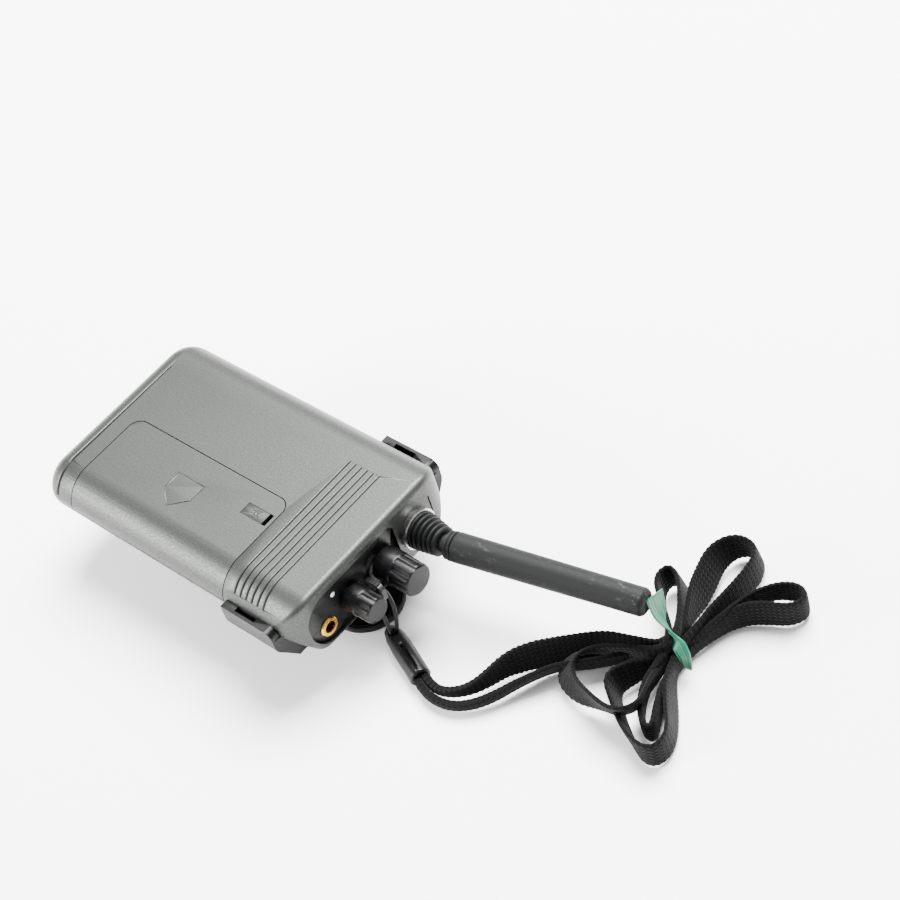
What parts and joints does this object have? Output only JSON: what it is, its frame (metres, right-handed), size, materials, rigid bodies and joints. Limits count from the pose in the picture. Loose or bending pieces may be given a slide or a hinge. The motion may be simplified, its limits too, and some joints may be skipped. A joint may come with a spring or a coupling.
{
  "type": "wireless bodypack transmitter",
  "caption": "Palm-size radio transmitter pack with a battery door, control knobs, a whip aerial, a belt clip and a knitted lanyard.",
  "frame": {"origin": "on the underside of the belt clip's lever, below the middle of the case", "axes": "+X out of the control end, +Y across the case away from the battery side, +Z out of the front face; the pack lies on its clip"},
  "size_m": [0.2027, 0.1055, 0.0355],
  "materials": {
    "case_paint": "fine-textured silver-grey metallic paint on plastic",
    "lug_plastic": "satin grey moulded plastic",
    "black_plastic": "satin black moulded plastic",
    "aerial_rubber": "matte rubber with light scuffs",
    "screw_steel": "blackened steel",
    "spring_steel": "nickel-plated spring steel",
    "shaft_metal": "machined",
    "collar_metal": "turned and satin-plated",
    "gold_plate": "gold-plated brass",
    "cell_jacket": "printed shrink sleeve, left blank",
    "circuit_board": "green solder mask",
    "label_film": "blank silver label",
    "light_lens": "white diffusing lens",
    "black_knit": "knitted polyester strap",
    "tie_film": "thin green plastic film"
  },
  "bodies": {
    "pack": {"front_case": "case_paint", "rear_case": "case_paint", "case_screws": "screw_steel", "rating_label": "label_film", "battery_tray": "black_plastic", "battery_cell_1": "cell_jacket", "battery_cell_2": "cell_jacket", "cell_spring_contact": "spring_steel", "button_contact": "spring_steel", "bridge_contact": "spring_steel", "main_board": "circuit_board", "screening_can": "spring_steel", "board_components": "black_plastic", "board_screws": "screw_steel", "board_posts": "black_plastic", "control_panel": "black_plastic", "power_light": "light_lens", "jack_collar": "gold_plate", "jack_socket": "black_plastic", "volume_pot": "black_plastic", "channel_switch": "black_plastic", "strap_lug": "lug_plastic", "aerial_collar": "collar_metal", "aerial_connector": "shaft_metal", "aerial_boot": "aerial_rubber", "aerial_core_spring": "spring_steel", "clip_bracket": "black_plastic", "clip_pin": "spring_steel", "clip_torsion_spring": "spring_steel", "cord_slider": "black_plastic", "lanyard_cord": "black_knit", "strap_tail_upper": "black_knit", "strap_tail_lower": "black_knit", "strap_hank": "black_knit", "strap_tie": "tie_film"},
    "cover": {"battery_cover": "case_paint", "latch_leaf_spring": "spring_steel"},
    "latch": {"cover_latch": "case_paint"},
    "volume_control": {"volume_knob": "black_plastic", "volume_shaft": "shaft_metal"},
    "channel_control": {"channel_knob": "black_plastic", "channel_shaft": "shaft_metal"},
    "aerial_pivot": {"aerial_core_ball": "spring_steel"},
    "whip": {"aerial_neck": "aerial_rubber", "aerial_rod": "aerial_rubber", "aerial_wire": "spring_steel"},
    "lever": {"clip_lever": "black_plastic"}
  },
  "joints": [
    {"name": "cover_slide", "type": "slide", "parent": "pack", "child": "cover", "axis": [0, -1, 0], "range_m": [0, 0.035]},
    {"name": "latch_slide", "type": "slide", "parent": "cover", "child": "latch", "axis": [1, 0, 0], "range_m": [0, 0.001], "stiffness_N_per_m": 200},
    {"name": "volume_turn", "type": "hinge", "parent": "pack", "child": "volume_control", "pos_m": [0.0504, 0.0032, 0.022], "axis": [1, 0, 0], "range_deg": [0, 270]},
    {"name": "channel_turn", "type": "hinge", "parent": "pack", "child": "channel_control", "pos_m": [0.0504, -0.0103, 0.022], "axis": [1, 0, 0], "range_deg": [-150, 150]},
    {"name": "aerial_swing", "type": "hinge", "parent": "pack", "child": "aerial_pivot", "pos_m": [0.0629, 0.0164, 0.0228], "axis": [0, 0, 1], "range_deg": [-25, 8], "stiffness_Nm_per_rad": 0.02},
    {"name": "aerial_nod", "type": "hinge", "parent": "aerial_pivot", "child": "whip", "pos_m": [0.0629, 0.0164, 0.0228], "axis": [0.2079, -0.9781, 0], "range_deg": [-4, 15], "stiffness_Nm_per_rad": 0.05},
    {"name": "lever_press", "type": "hinge", "parent": "pack", "child": "lever", "pos_m": [0.02, 0, 0.007], "axis": [0, -1, 0], "range_deg": [0, 13], "stiffness_Nm_per_rad": 0.6}
  ]
}
